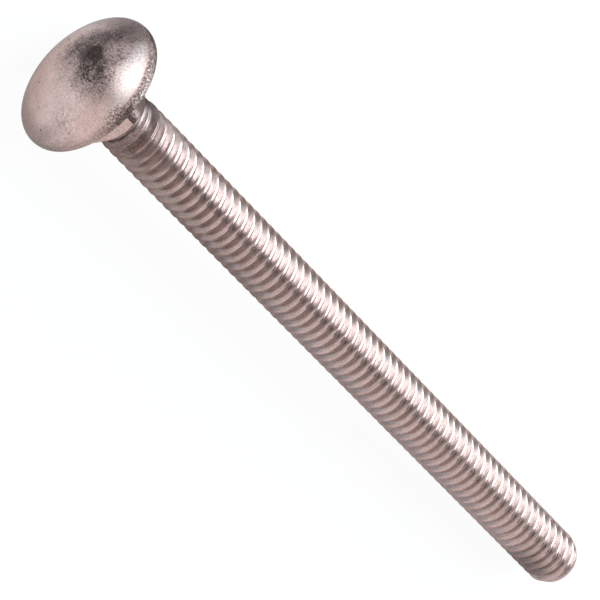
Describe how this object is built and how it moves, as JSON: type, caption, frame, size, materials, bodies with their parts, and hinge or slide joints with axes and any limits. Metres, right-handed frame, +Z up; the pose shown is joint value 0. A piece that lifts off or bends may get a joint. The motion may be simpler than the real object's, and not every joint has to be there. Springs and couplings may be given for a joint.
{
  "type": "carriage bolt",
  "caption": "Carriage bolt with a domed round head, a square neck that stops it turning and a full-length coarse thread, lying at rest.",
  "frame": {"origin": "on the surface that the lying bolt rests on, under the middle of its length and width", "axes": "+Z up, +X along the bolt from its head towards its tip, +Y to the side; the bolt's own axis leans 2.83 degrees down towards the tip, because the head is wider than the shank"},
  "size_m": [0.0918, 0.0146, 0.0146],
  "materials": {
    "steel": "satin"
  },
  "bodies": {
    "root": {"carriage_bolt": "steel"}
  },
  "joints": []
}
